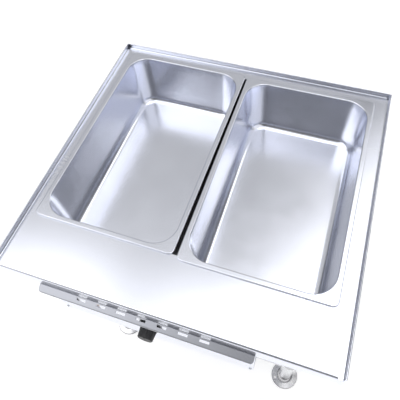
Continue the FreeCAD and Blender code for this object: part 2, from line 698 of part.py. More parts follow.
def control_fascia():
    x0 = across(BOX_LEFT)
    plate = box(x0, x0 + BOX_W, FASCIA_Y, FASCIA_Y + 2, BOX_BOTTOM_Z, BOX_TOP_Z - BOX_SHEET - 0.3)
    plate = plate.cut(box(across(ROCKER_AT) - 9.2, across(ROCKER_AT) + 9.2, FASCIA_Y - 1,
                          FASCIA_Y + 3, CONTROL_Z - 13.2, CONTROL_Z + 13.2))
    for at in LAMPS_AT:
        plate = plate.cut(rod(across(at), FASCIA_Y - 1, CONTROL_Z, 6.1, 4, Y_AXIS))
    plate = plate.cut(rod(across(KNOB_AT), FASCIA_Y - 1, CONTROL_Z, 4.0, 4, Y_AXIS))
    plate = plate.cut(rod(across(LIMIT_AT), FASCIA_Y - 1, CONTROL_Z, 6.1, 4, Y_AXIS))
    for x, z in fascia_screw_spots():
        plate = plate.cut(rod(x, FASCIA_Y - 1, z, 2.2, 4, Y_AXIS))
    return plate


def rocker_housing():
    x = across(ROCKER_AT)
    bezel = box(x - 12, x + 12, FASCIA_Y - 2, FASCIA_Y, CONTROL_Z - 16, CONTROL_Z + 16)
    bezel = bezel.makeFillet(1.2, [e for e in bezel.Edges if e.BoundBox.YMax < FASCIA_Y - 1.9])
    body = box(x - 9, x + 9, FASCIA_Y, FASCIA_Y + 26, CONTROL_Z - 13, CONTROL_Z + 13)
    cavity = box(x - 7, x + 7, FASCIA_Y - 3, FASCIA_Y + 15, CONTROL_Z - 11.6, CONTROL_Z + 11.6)
    pivot = rod(x - 10, FASCIA_Y + ROCKER_PIVOT, CONTROL_Z, ROCKER_PIN_R + 0.05, 20, X_AXIS)
    shape = bezel.fuse(body).cut(cavity).cut(pivot)
    for i in (-1, 1):
        tab = box(x + i * 4 - 1, x + i * 4 + 1, FASCIA_Y + 26, FASCIA_Y + 34,
                  CONTROL_Z - 8, CONTROL_Z - 2)
        shape = shape.fuse(tab)
    return shape.removeSplitter()


def rocker():
    """Rocker in its off position, pushed in at the foot; it turns about X."""
    x = across(ROCKER_AT)
    y = FASCIA_Y + ROCKER_PIVOT
    points = [Vec(x - 6.6, y - 2.2, CONTROL_Z - 10), Vec(x - 6.6, y - 3.2, CONTROL_Z),
              Vec(x - 6.6, y - 6.6, CONTROL_Z + 9), Vec(x - 6.6, y + 2, CONTROL_Z + 10),
              Vec(x - 6.6, y + 7, CONTROL_Z + 5), Vec(x - 6.6, y + 7, CONTROL_Z - 5),
              Vec(x - 6.6, y + 2, CONTROL_Z - 10)]
    wire = rounded_wire(points, [0.6, 4.0, 1.0, 1.0, 1.0, 1.0, 1.0])
    paddle = Part.Face(wire).extrude(Vec(13.2, 0, 0))
    return paddle.fuse(rod(x - 8.5, y, CONTROL_Z, ROCKER_PIN_R, 17, X_AXIS))


def lamp_bezels():
    shapes = []
    for at in LAMPS_AT:
        profile = [(4.6, 0), (8, 0), (8, 1.2), (6.8, 2.6), (4.6, 2.6)]
        collar = turned(profile, across(at), FASCIA_Y, CONTROL_Z, Y_AXIS * -1)
        barrel = ring(across(at), FASCIA_Y, CONTROL_Z, 5.9, 4.6, 24, Y_AXIS)
        end = rod(across(at), FASCIA_Y + 22, CONTROL_Z, 5.9, 4, Y_AXIS)
        shapes.append(collar.fuse(barrel).fuse(end).removeSplitter())
    return group(shapes)


def lamp_lenses():
    profile = [(0, -8), (4.5, -8), (4.5, 2.8), (4.1, 4.2), (3.0, 5.4), (1.5, 6.1), (0, 6.3)]
    return group([turned(profile, across(at), FASCIA_Y, CONTROL_Z, Y_AXIS * -1)
                  for at in LAMPS_AT])


def thermostat_body():
    x = across(KNOB_AT)
    plate = box(x - 26, x + 26, FASCIA_Y + 2, FASCIA_Y + 4, CONTROL_Z - 15, CONTROL_Z + 15)
    drum = rod(x, FASCIA_Y + 4, CONTROL_Z, 21, 26, Y_AXIS)
    tail = box(x - 15, x + 15, FASCIA_Y + 30, FASCIA_Y + 36, CONTROL_Z - 9, CONTROL_Z + 9)
    shape = fuse(plate, drum, tail)
    return shape.cut(rod(x, FASCIA_Y, CONTROL_Z, 3.05, 22, Y_AXIS))


def thermostat_spindle():
    x = across(KNOB_AT)
    shaft = rod(x, FASCIA_Y - 20, CONTROL_Z, 3.0, 40, Y_AXIS)
    flat = box(x - 4, x + 4, FASCIA_Y - 21, FASCIA_Y - 6, CONTROL_Z + 1.8, CONTROL_Z + 5)
    return shaft.cut(flat)


def thermostat_knob():
    """Round knob with a skirt, a raised finger bar and a blind bore for the spindle."""
    x = across(KNOB_AT)
    length = FASCIA_SET + KNOB_REACH - 1.5
    profile = [(0, 0), (25, 0), (25, 2.5), (23.5, 5), (19, 6.5), (18, 14), (17, length - 3),
               (15.5, length - 1), (0, length - 1)]
    base = FASCIA_Y - 1.5
    knob = turned(profile, x, base, CONTROL_Z, Y_AXIS * -1)
    for i in range(12):
        turn = math.radians(30 * i + 15)
        knob = knob.cut(rod(x + 20.4 * math.sin(turn), base - 7.5, CONTROL_Z + 20.4 * math.cos(turn),
                            3.4, 30, Y_AXIS * -1))
    bar = box(x - 1.2, x + 1.2, base - length, base - length + 3, CONTROL_Z - 0.5, CONTROL_Z + 14.5)
    knob = knob.fuse(bar).removeSplitter()
    bore = rod(x, base + 1, CONTROL_Z, 3.1, 20, Y_AXIS * -1)
    return knob.cut(bore)


def sensor_bulb():
    """Capillary from the thermostat, down and through the bath wall, with its bulb."""
    x = across(KNOB_AT)
    start_y = FASCIA_Y + 36
    down_y = start_y + 18
    points = [Vec(x, start_y, CONTROL_Z), Vec(x, down_y, CONTROL_Z), Vec(x, down_y, ELEMENT_Z),
              Vec(x, BATH_Y0 + 30, ELEMENT_Z)]
    line = pipe_run(points, 14.0, 1.2)
    bulb = rod(x, BATH_Y0 + 30, ELEMENT_Z, 3.5, 110, Y_AXIS)
    grommet = rod(x, BATH_Y0 - BATH_SHEET - 4, ELEMENT_Z, 4.8, 9, Y_AXIS)
    return fuse(line, bulb, grommet)


def limit_body():
    x = across(LIMIT_AT)
    drum = rod(x, FASCIA_Y + 5, CONTROL_Z, 14, 20, Y_AXIS)
    neck = rod(x, FASCIA_Y - 2.5, CONTROL_Z, 5.9, 8, Y_AXIS)
    nut = hexagon(x, FASCIA_Y - 2.5, CONTROL_Z, 15, 2.5, Y_AXIS)
    shape = fuse(drum, neck, nut)
    return shape.cut(rod(x, FASCIA_Y - 4, CONTROL_Z, 3.6, 16, Y_AXIS))


def limit_button():
    x = across(LIMIT_AT)
    profile = [(0, 0), (3.3, 0), (3.3, 12.2), (2.7, 13.2), (0, 13.6)]
    return turned(profile, x, FASCIA_Y + 8.5, CONTROL_Z, Y_AXIS * -1)


def terminal_block():
    x = across(BOX_LEFT + BOX_W - 50)
    z = 700
    block = box(x - 30, x + 30, BOX_BACK_Y - 22, BOX_BACK_Y, z - 12, z + 12)
    for i in range(4):
        a = x - 21 + 14 * i
        block = block.cut(rod(a, BOX_BACK_Y - 23, z, 3.2, 12, Y_AXIS))
    return block


def wires():
    """Lead from the terminal block to the switch and on to the elements' ends."""
    shapes = []
    z = 790.0
    ends = (across(ROCKER_AT) - 4, across(ROCKER_AT) + 4)
    for i, end in enumerate(ends):
        start = across(BOX_LEFT + BOX_W - 50) - 21 + 14 * i
        y = BOX_BACK_Y - 26 - 5 * i
        top = z + 5 * i
        points = [Vec(start, y, 715), Vec(start, y, top), Vec(end, y, top),
                  Vec(end, y, CONTROL_Z + 14), Vec(end, FASCIA_Y + 44, CONTROL_Z - 5),
                  Vec(end, FASCIA_Y + 34.5, CONTROL_Z - 5)]
        shapes.append(pipe_run(points, 4.0, 1.5))
    return group(shapes)


def cable_gland():
    """Gland body in the box's right end, for a lead that is not part of the table."""
    x = across(BOX_LEFT + BOX_W)
    y = back(GLAND_BACK)
    body = hexagon(x, y, GLAND_Z, 24, 5, X_AXIS)
    body = body.fuse(rod(x - 12, y, GLAND_Z, 10, 34, X_AXIS))
    body = body.fuse(hexagon(x + 12, y, GLAND_Z, 24, 12, X_AXIS))
    body = body.fuse(rod(x + 24, y, GLAND_Z, 10.8, 2, X_AXIS))
    return body.cut(rod(x - 14, y, GLAND_Z, 5.5, 44, X_AXIS)).removeSplitter()


def gland_nut():
    x = across(BOX_LEFT + BOX_W) - BOX_SHEET - 5
    y = back(GLAND_BACK)
    nut = hexagon(x, y, GLAND_Z, 25, 5, X_AXIS)
    return nut.cut(rod(x - 1, y, GLAND_Z, 10.05, 8, X_AXIS))


# ---- drain ----
def drain_spud():
    x = across(DRAIN_AT[0])
    y = back(DRAIN_AT[1])
    profile = [(9, BATH_FLOOR_Z + 3), (14, BATH_FLOOR_Z + 3.4), (24, BATH_FLOOR_Z + 1.2),
               (24, BATH_FLOOR_Z + 0.05), (13.5, BATH_FLOOR_Z + 0.05), (13.5, 596), (9, 596)]
    return turned(profile, x, y, 0, Z_AXIS)


def drain_nut():
    z = BATH_FLOOR_Z - BATH_SHEET - 8
    nut = hexagon(across(DRAIN_AT[0]), back(DRAIN_AT[1]), z, 38, 8)
    return nut.cut(rod(across(DRAIN_AT[0]), back(DRAIN_AT[1]), z - 1, 13.55, 10))


def drain_elbow():
    """Elbow that turns the outlet forward."""
    x = across(DRAIN_AT[0])
    y = back(DRAIN_AT[1])
    front = back(VALVE_BACK) + 30
    outer = rod(x, y, VALVE_Z, 16.5, 612 - VALVE_Z)
    outer = outer.fuse(Part.makeSphere(16.5, Vec(x, y, VALVE_Z)))
    outer = outer.fuse(rod(x, front, VALVE_Z, 14.5, y - front, Y_AXIS))
    inner = rod(x, y, VALVE_Z, 9.0, 60)
    inner = inner.fuse(Part.makeSphere(9.0, Vec(x, y, VALVE_Z)))
    inner = inner.fuse(rod(x, front - 1, VALVE_Z, 9.0, y - front + 1, Y_AXIS))
    return outer.cut(inner).cut(rod(x, y, 596, 13.55, 20))


def valve_body():
    x = across(DRAIN_AT[0])
    y = back(VALVE_BACK)
    shape = fuse(rod(x, y - 30, VALVE_Z, 14.0, 60, Y_AXIS), rod(x, y - 15, VALVE_Z, 17.0, 30, Y_AXIS),
                 hexagon(x, y - 30, VALVE_Z, 31, 11, Y_AXIS), hexagon(x, y + 19, VALVE_Z, 31, 11, Y_AXIS),
                 rod(x, y, VALVE_Z, 8.5, 25), rod(x, y - 52, VALVE_Z, DRAIN_R, 24, Y_AXIS))
    shape = shape.cut(rod(x, y - 60, VALVE_Z, 7.0, 100, Y_AXIS))
    shape = shape.cut(Part.makeSphere(12.3, Vec(x, y, VALVE_Z)))
    return shape.cut(rod(x, y, VALVE_Z, 4.05, 40))


def valve_ball():
    """Ball in the closed position, its port across the pipe."""
    x = across(DRAIN_AT[0])
    y = back(VALVE_BACK)
    ball = Part.makeSphere(12.0, Vec(x, y, VALVE_Z))
    ball = ball.cut(rod(x - 20, y, VALVE_Z, 7.0, 40, X_AXIS))
    return ball.cut(box(x - 20, x + 20, y - 1.6, y + 1.6, VALVE_Z + 8.5, VALVE_Z + 20))


def valve_stem():
    x = across(DRAIN_AT[0])
    y = back(VALVE_BACK)
    stem = rod(x, y, VALVE_Z + 12.6, 4.0, 21)
    key = box(x - 3.4, x + 3.4, y - 1.5, y + 1.5, VALVE_Z + 8.6, VALVE_Z + 12.6)
    return fuse(stem, key)


def valve_lever():
    """Lever across the pipe when the valve is closed."""
    x = across(DRAIN_AT[0])
    y = back(VALVE_BACK)
    z = VALVE_Z + 27
    plate = box(x - 38, x + 8, y - 8, y + 8, z, z + 2.5)
    lift = [Vec(x - 36, y - 8, z), Vec(x - 36, y - 8, z + 2.5), Vec(x - 48, y - 8, z + 8.5),
            Vec(x - 100, y - 8, z + 8.5), Vec(x - 100, y - 8, z + 6), Vec(x - 48, y - 8, z + 6),
            Vec(x - 36, y - 8, z)]
    arm = Part.Face(Part.makePolygon(lift)).extrude(Vec(0, 16, 0))
    shape = fuse(plate, rod(x, y, z, 11, 2.5), arm)
    return shape.cut(rod(x, y, z - 1, 4.02, 8))


def lever_grip():
    x = across(DRAIN_AT[0])
    y = back(VALVE_BACK)
    z = VALVE_Z + 34.25
    sleeve = rounded_slab(x - 104, x - 52, y - 11, y + 11, z - 4, z + 4, 5)
    sleeve = sleeve.makeFillet(2.0, [e for e in sleeve.Edges if abs(e.BoundBox.ZLength) < 1e-6])
    return sleeve.cut(box(x - 100.1, x - 40, y - 8.1, y + 8.1, z - 1.35, z + 1.35))


def lever_nut():
    x = across(DRAIN_AT[0])
    y = back(VALVE_BACK)
    z = VALVE_Z + 29.5
    return hexagon(x, y, z, 12, 6).cut(rod(x, y, z - 1, 4.02, 5.1))


# ---- fasteners ----
def socket_bolts():
    shapes = []
    for spot in LEG_SPOTS.values():
        for x, y in bolt_spots(spot):
            shank = rod(x, y, LEG_TOP_Z, 4.0, 22)
            head = hexagon(x, y, LEG_TOP_Z - 5.3, 13, 5.3)
            shapes.append(shank.fuse(head))
    return group(shapes)


def socket_nuts():
    shapes = []
    for spot in LEG_SPOTS.values():
        for x, y in bolt_spots(spot):
            z = RAIL_BOTTOM_Z + RAIL_SHEET
            nut = hexagon(x, y, z, 13, 6.5)
            shapes.append(nut.cut(rod(x, y, z - 1, 4.02, 10)))
    return group(shapes)


def socket_set_screws():
    shapes = []
    for spot in LEG_SPOTS.values():
        side = 1 if spot[0] < 0 else -1
        start = spot[0] + side * (LEG_R + 0.2)
        shapes.append(rod(start, spot[1], LEG_TOP_Z - 30, 3.1, 4.0, X_AXIS * side))
    return group(shapes)


def pan_head(x, y, z, radius, length, axis):
    """Round-headed screw: its head stands off the surface against the axis."""
    head_r = radius * 2
    profile = [(0, -length), (radius, -length), (radius, 0), (head_r, 0), (head_r, radius * 0.5),
               (head_r * 0.7, radius * 1.1), (0, radius * 1.3)]
    screw = turned(profile, x, y, z, axis)
    lift = axis * (radius * 0.5)
    slot = hexagon(x + lift.x, y + lift.y, z + lift.z, radius * 1.3, radius * 2, axis)
    return screw.cut(slot)


def fascia_screws():
    return group([pan_head(x, FASCIA_Y, z, 1.75, 7, Y_AXIS * -1)
                  for x, z in fascia_screw_spots()])


def casing_screws():
    """Screws through the front and back panels into the side panels' flanges."""
    shapes = []
    for z in (FRAME_Z + 25, FRAME_Z + 105, FRAME_Z + 185):
        for x in (CASE_X0 + 7, CASE_X1 - 7):
            shapes.append(pan_head(x, BOX_BACK_Y, z, 1.6, 1.0, Y_AXIS * -1))
            shapes.append(pan_head(x, CASE_Y1 + SKIN, z, 1.6, 1.0, Y_AXIS))
    return group(shapes)


def shelf_bolts():
    shapes = []
    for spot in LEG_SPOTS.values():
        x, y = clamp_bolt(spot)
        low = SHELF_Z - SHELF_SHEET - 5
        bolt = pan_head(x, y, SHELF_Z, 3.0, SHELF_SHEET + 12, Z_AXIS)
        shapes.append(bolt)
        shapes.append(hexagon(x, y, low - 5, 10, 5).cut(rod(x, y, low - 6, 3.02, 8)))
    return group(shapes)


def drill(panel, screws):
    """Clears a panel for the screws that pass through it."""
    return panel.cut(screws)


PARTS["countertop"] = countertop()
PARTS["front_stiffener"] = front_stiffener()
PARTS["pan_left"] = pan(LEFT_PAN)
PARTS["pan_right"] = pan(RIGHT_PAN)
PARTS["water_bath"] = water_bath()
PARTS["side_insulation"] = side_wool()
PARTS["floor_insulation"] = floor_wool()
PARTS["element_guard"] = element_guard()
PARTS["heating_elements"] = group([heating_element(pair) for pair in ELEMENT_RUNS])
PARTS["element_flanges"] = group([element_flange(pair) for pair in ELEMENT_RUNS])
PARTS["element_gaskets"] = group([element_gasket(pair) for pair in ELEMENT_RUNS])
SCREWS = casing_screws()
PARTS["casing_left"] = drill(casing_side(CASE_X0 - SKIN, 1), SCREWS)
PARTS["casing_right"] = drill(casing_side(CASE_X1 + SKIN, -1), SCREWS)
PARTS["casing_front"] = drill(casing_front(), SCREWS)
PARTS["casing_rear"] = drill(casing_rear(), SCREWS)
PARTS["casing_bottom"] = casing_bottom()
PARTS["casing_screws"] = SCREWS
PARTS["rails"] = group([rail(across(a)) for a in (LEG_INSET_X, TOP_W - LEG_INSET_X)])
PARTS["leg_sockets"] = group([leg_socket(spot) for spot in LEG_SPOTS.values()])
for name, spot in LEG_SPOTS.items():
    PARTS["leg_" + name] = leg(spot)
    PARTS["foot_" + name] = foot(spot)
PARTS["leg_inserts"] = group([leg_insert(spot) for spot in LEG_SPOTS.values()])
PARTS["socket_bolts"] = socket_bolts()
PARTS["socket_nuts"] = socket_nuts()
PARTS["socket_set_screws"] = socket_set_screws()
PARTS["undershelf"] = undershelf()
PARTS["shelf_clamps"] = group([shelf_clamp(spot) for spot in LEG_SPOTS.values()])
PARTS["shelf_bolts"] = shelf_bolts()
PARTS["control_box"] = control_box()
PARTS["control_fascia"] = control_fascia()
PARTS["fascia_screws"] = fascia_screws()
PARTS["rocker_housing"] = rocker_housing()
PARTS["rocker"] = rocker()
PARTS["lamp_bezels"] = lamp_bezels()
PARTS["lamp_lenses"] = lamp_lenses()
PARTS["thermostat_body"] = thermostat_body()
PARTS["thermostat_spindle"] = thermostat_spindle()
PARTS["thermostat_knob"] = thermostat_knob()
PARTS["sensor_bulb"] = sensor_bulb()
PARTS["limit_body"] = limit_body()
PARTS["limit_button"] = limit_button()
PARTS["terminal_block"] = terminal_block()
PARTS["wires"] = wires()
PARTS["cable_gland"] = cable_gland()
PARTS["gland_nut"] = gland_nut()
PARTS["drain_spud"] = drain_spud()
PARTS["drain_nut"] = drain_nut()
PARTS["drain_elbow"] = drain_elbow()
PARTS["valve_body"] = valve_body()
PARTS["valve_ball"] = valve_ball()
PARTS["valve_stem"] = valve_stem()
PARTS["valve_lever"] = valve_lever()
PARTS["lever_grip"] = lever_grip()
PARTS["lever_nut"] = lever_nut()

os.makedirs("parts", exist_ok=True)
for name, shape in PARTS.items():
    if not shape.isValid():
        print("not valid:", name)
    shape.exportStep("parts/" + name + ".step")
print(len(PARTS), "nodes")
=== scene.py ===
import json
import math

import bmesh
import bpy
from mathutils import Euler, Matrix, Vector, noise

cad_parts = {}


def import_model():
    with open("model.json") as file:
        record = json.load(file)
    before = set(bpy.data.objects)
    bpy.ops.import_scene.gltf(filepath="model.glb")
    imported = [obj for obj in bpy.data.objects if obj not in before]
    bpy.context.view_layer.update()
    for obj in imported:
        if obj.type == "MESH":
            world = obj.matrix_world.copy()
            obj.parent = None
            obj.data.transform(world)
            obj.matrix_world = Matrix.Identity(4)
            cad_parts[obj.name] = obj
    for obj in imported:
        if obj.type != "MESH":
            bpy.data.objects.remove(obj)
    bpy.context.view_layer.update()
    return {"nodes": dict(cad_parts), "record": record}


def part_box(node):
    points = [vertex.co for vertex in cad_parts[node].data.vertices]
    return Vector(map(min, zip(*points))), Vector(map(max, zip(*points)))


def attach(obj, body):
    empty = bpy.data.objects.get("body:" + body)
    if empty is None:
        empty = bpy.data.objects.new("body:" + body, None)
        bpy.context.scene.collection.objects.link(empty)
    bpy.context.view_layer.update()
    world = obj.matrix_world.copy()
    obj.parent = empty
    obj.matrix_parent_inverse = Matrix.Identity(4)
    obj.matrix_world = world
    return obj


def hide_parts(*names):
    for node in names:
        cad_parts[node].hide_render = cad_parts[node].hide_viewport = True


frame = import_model()

NODES = frame["nodes"]

DECK_MIDDLE = Vector((0.0, 0.0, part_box("countertop")[1].z))
DOME_RADIUS = 6.0
FRONT = 270
BACK = 90
FRONT_SWING = 60
BACK_SWING = 30
BANK_RISE = 50
STRIP_RISE = 45
BANK = 6.0
STRIP = 2.0
KEY_LIGHT = 1.8
HORIZON_LIGHT = 0.3
HORIZON_TOP = 0.4
SKY_LIGHT = 0.12
FLOOR_GLOW = 0.42
FLOOR_REACH = 12.0
CAMERA_PLACE = (0.21915, -0.5235, 1.7197)
CAMERA_TURN = (34.20, 3.06, 18.76)
CAMERA_LENS = 41.15
CAMERA_SHIFT = (-0.0147, -0.0751)


# ---------------------------------------------------------------- material building

class Graph:
    """A material's node tree, with short calls for the nodes used here."""

    def __init__(self, name, **constants):
        self.material = bpy.data.materials.new(name)
        self.material.use_nodes = True
        self.tree = self.material.node_tree
        self.tree.nodes.clear()
        output = self.tree.nodes.new("ShaderNodeOutputMaterial")
        self.shader = self.tree.nodes.new("ShaderNodeBsdfPrincipled")
        self.tree.links.new(self.shader.outputs["BSDF"], output.inputs["Surface"])
        for key, value in constants.items():
            self.shader.inputs[key.replace("_", " ")].default_value = value

    def node(self, kind, settings=None, **inputs):
        made = self.tree.nodes.new("ShaderNode" + kind)
        for key, value in (settings or {}).items():
            setattr(made, key, value)
        for key, value in inputs.items():
            self.put(value, made.inputs[key.replace("_", " ")])
        return made

    def put(self, value, socket):
        if isinstance(value, bpy.types.NodeSocket):
            self.tree.links.new(value, socket)
        else:
            socket.default_value = value

    def places(self, scale=(1, 1, 1)):
        """Object coordinates in metres, stretched by scale."""
        source = self.node("TexCoord").outputs["Object"]
        return self.node("Mapping", Vector=source, Scale=scale).outputs["Vector"]

    def noise(self, places, scale, detail=3.0, roughness=0.5):
        made = self.node("TexNoise", Vector=places, Scale=scale, Detail=detail, Roughness=roughness)
        return made.outputs["Fac"]

    def spread(self, value, low, high, start=0.0, end=1.0):
        made = self.node("MapRange", {"clamp": True}, Value=value)
        made.inputs["From Min"].default_value = start
        made.inputs["From Max"].default_value = end
        made.inputs["To Min"].default_value = low
        made.inputs["To Max"].default_value = high
        return made.outputs["Result"]

    def blend(self, amount, first, second):
        """A colour between first and second."""
        made = self.node("Mix", {"data_type": "RGBA"})
        colours = [s for s in made.inputs if s.type == "RGBA"]
        self.put(amount, made.inputs[0])
        self.put(first, colours[0])
        self.put(second, colours[1])
        return [s for s in made.outputs if s.type == "RGBA"][0]

    def maths(self, operation, first, second):
        made = self.node("Math", {"operation": operation})
        self.put(first, made.inputs[0])
        self.put(second, made.inputs[1])
        return made.outputs["Value"]

    def bump(self, height, strength, depth, normal=None):
        made = self.node("Bump", Height=height, Strength=strength, Distance=depth)
        if normal is not None:
            self.put(normal, made.inputs["Normal"])
        return made.outputs["Normal"]

    def soft_edges(self, radius):
        """A shading normal that rounds hard edges."""
        return self.node("Bevel", {"samples": 4}, Radius=radius).outputs["Normal"]

    def worn_edges(self, radius):
        """0 on open faces, rising to 1 along hard edges."""
        rounded = self.soft_edges(radius)
        plain = self.node("NewGeometry").outputs["Normal"]
        turn = self.node("VectorMath", {"operation": "DOT_PRODUCT"})
        self.put(rounded, turn.inputs[0])
        self.put(plain, turn.inputs[1])
        return self.spread(turn.outputs["Value"], 1.0, 0.0, 0.80, 0.995)

    def finish(self, colour, roughness, normal=None):
        self.put(colour, self.shader.inputs["Base Color"])
        self.put(roughness, self.shader.inputs["Roughness"])
        if normal is not None:
            self.put(normal, self.shader.inputs["Normal"])
        return self.material


def tone(red, green, blue):
    return (red, green, blue, 1.0)


# ---------------------------------------------------------------- materials

def rolled_steel(name, colour, shade, roughness, grain, streak=0.012, smear=0.012, depth=0.00001):
    """Sheet or tube: fine scratches along one axis, faint smears, burnished edges."""
    graph = Graph(name, Metallic=1.0)
    scratches = graph.noise(graph.places(grain), 1.0, detail=3.0, roughness=0.6)
    smears = graph.noise(graph.places(), 6.0, detail=3.0)
    edges = graph.worn_edges(0.0008)
    scratched = graph.spread(scratches, roughness - streak, roughness + streak, 0.3, 0.7)
    smeared = graph.maths("ADD", scratched, graph.spread(smears, -smear, smear, 0.3, 0.7))
    rough = graph.maths("SUBTRACT", smeared, graph.spread(edges, 0.0, 0.05))
    tint = graph.blend(graph.spread(scratches, 0.0, 1.0, 0.3, 0.7), shade, colour)
    normal = graph.bump(scratches, 0.025, depth, graph.soft_edges(0.0005))
    return graph.finish(tint, rough, normal)


def drawn_steel(name, colour, shade, roughness):
    """Deep-drawn sheet: a faint pebbled skin and polishing clouds, and painted shade on the underside: faces
    turned downwards are darkened and made rougher.
    """
    graph = Graph(name, Metallic=1.0)
    skin = graph.noise(graph.places(), 900.0, detail=2.0)
    clouds = graph.noise(graph.places(), 9.0, detail=4.0, roughness=0.55)
    rough = graph.spread(clouds, roughness - 0.02, roughness + 0.03, 0.35, 0.65)
    tint = graph.blend(graph.spread(clouds, 0.0, 1.0, 0.3, 0.7), shade, colour)
    # Painted shade: faces that turn downwards are darkened to a dark grey.
    facing = graph.node("SeparateXYZ", Vector=graph.node("NewGeometry").outputs["True Normal"])
    under = graph.spread(facing.outputs["Z"], 1.0, 0.0, -0.10, -0.02)
    tint = graph.blend(under, tint, tone(0.21, 0.21, 0.225))
    rough = graph.maths("ADD", rough, graph.spread(under, 0.0, 0.25))
    return graph.finish(tint, rough, graph.bump(skin, 0.12, 0.00002))


def galvanised(name):
    """Zinc spangle in flat crystals."""
    graph = Graph(name, Metallic=1.0)
    crystals = graph.node("TexVoronoi", Vector=graph.places(), Scale=130.0)
    flake = graph.node("SeparateColor", Color=crystals.outputs["Color"]).outputs["Red"]
    dust = graph.noise(graph.places(), 30.0)
    tint = graph.blend(flake, tone(0.50, 0.51, 0.53), tone(0.66, 0.67, 0.69))
    rough = graph.maths("ADD", graph.spread(flake, 0.30, 0.46), graph.spread(dust, -0.03, 0.05, 0.3, 0.7))
    return graph.finish(tint, rough, graph.bump(flake, 0.15, 0.00003, graph.soft_edges(0.0004)))


def plated(name, colour, shade, roughness, mottle=0.04):
    """Plated or polished small metal parts, with handling marks and brighter edges."""
    graph = Graph(name, Metallic=1.0)
    marks = graph.noise(graph.places(), 240.0, detail=5.0, roughness=0.6)
    haze = graph.noise(graph.places(), 45.0)
    rough = graph.maths("ADD", graph.spread(marks, roughness - mottle, roughness + mottle, 0.3, 0.7),
                        graph.spread(haze, 0.0, mottle, 0.4, 0.7))
    hazed = graph.blend(graph.spread(haze, 0.0, 1.0, 0.3, 0.7), shade, colour)
    tint = graph.blend(graph.worn_edges(0.0004), hazed, colour)
    return graph.finish(tint, rough, graph.bump(marks, 0.15, 0.00002, graph.soft_edges(0.0003)))


def sandcast(name):
    """Cast aluminium with an open grain, rubbed smoother along its edges."""
    graph = Graph(name, Metallic=1.0)
    grain = graph.noise(graph.places(), 1100.0, detail=3.0)
    patches = graph.noise(graph.places(), 60.0)
    edges = graph.worn_edges(0.0010)
    tint = graph.blend(edges, graph.blend(patches, tone(0.54, 0.55, 0.56), tone(0.64, 0.65, 0.66)),
                       tone(0.78, 0.79, 0.80))
    rough = graph.maths("SUBTRACT", graph.spread(patches, 0.44, 0.56), graph.spread(edges, 0.0, 0.14))
    return graph.finish(tint, rough, graph.bump(grain, 0.5, 0.0001, graph.soft_edges(0.0006)))


def tarnished(name, fresh, dull, roughness):
    """Brass or copper: machining marks, and dull patches where it has been warm."""
    graph = Graph(name, Metallic=1.0)
    turning = graph.noise(graph.places((200, 200, 2500)), 1.0)
    patches = graph.noise(graph.places(), 70.0, detail=4.0)
    dulled = graph.spread(patches, 0.0, 1.0, 0.42, 0.68)
    tint = graph.blend(graph.worn_edges(0.0004), graph.blend(dulled, fresh, dull), fresh)
    rough = graph.maths("ADD", graph.spread(turning, roughness - 0.03, roughness + 0.03, 0.3, 0.7),
                        graph.spread(dulled, 0.0, 0.15))
    return graph.finish(tint, rough, graph.bump(turning, 0.2, 0.00002, graph.soft_edges(0.0003)))


def heated_sheath(name):
    """Element sheath, straw to blue where it has been hot."""
    graph = Graph(name, Metallic=1.0)
    bands = graph.noise(graph.places((6, 22, 6)), 1.0, detail=2.0)
    scale = graph.noise(graph.places(), 500.0, detail=4.0)
    warm = graph.blend(graph.spread(bands, 0.0, 1.0, 0.35, 0.55),
                       tone(0.42, 0.33, 0.22), tone(0.30, 0.26, 0.34))
    tint = graph.blend(graph.spread(bands, 0.0, 1.0, 0.55, 0.70), warm, tone(0.24, 0.27, 0.36))
    rough = graph.spread(scale, 0.34, 0.50, 0.3, 0.7)
    return graph.finish(tint, rough, graph.bump(scale, 0.3, 0.00003))


def moulded(name, colour, worn, roughness, grain=1500.0, depth=0.00004, **constants):
    """Moulded plastic: fine spark texture, dust in random patches, paler rubbed edges."""
    graph = Graph(name, **constants)
    texture = graph.noise(graph.places(), grain, detail=2.0)
    dust = graph.noise(graph.places(), 90.0, detail=4.0)
    edges = graph.worn_edges(0.0005)
    dusted = graph.blend(graph.spread(dust, 0.0, 0.35, 0.5, 0.8), colour, worn)
    tint = graph.blend(graph.spread(edges, 0.0, 0.6), dusted, worn)
    rough = graph.maths("ADD", graph.spread(texture, roughness - 0.04, roughness + 0.04, 0.3, 0.7),
                        graph.spread(dust, 0.0, 0.08, 0.4, 0.8))
    return graph.finish(tint, rough, graph.bump(texture, 0.3, depth, graph.soft_edges(0.0004)))


def mineral_wool(name):
    """Loose glassy fibres, matted in layers."""
    graph = Graph(name, Sheen_Weight=0.3, Sheen_Roughness=0.6)
    fibres = graph.noise(graph.places((1800, 500, 500)), 1.0, detail=5.0, roughness=0.7)
    crossed = graph.noise(graph.places((420, 1700, 600)), 1.0, detail=5.0, roughness=0.7)
    tufts = graph.noise(graph.places(), 55.0, detail=4.0)
    mat = graph.maths("MAXIMUM", fibres, crossed)
    tint = graph.blend(graph.spread(mat, 0.0, 1.0, 0.45, 0.75),
                       graph.blend(tufts, tone(0.55, 0.47, 0.28), tone(0.66, 0.59, 0.38)),
                       tone(0.82, 0.77, 0.58))
    return graph.finish(tint, graph.spread(tufts, 0.85, 0.97), graph.bump(mat, 0.8, 0.0006))


ALONG_X = (10.0, 700.0, 700.0)
ALONG_Z = (700.0, 700.0, 10.0)
EVENLY = (160.0, 160.0, 160.0)

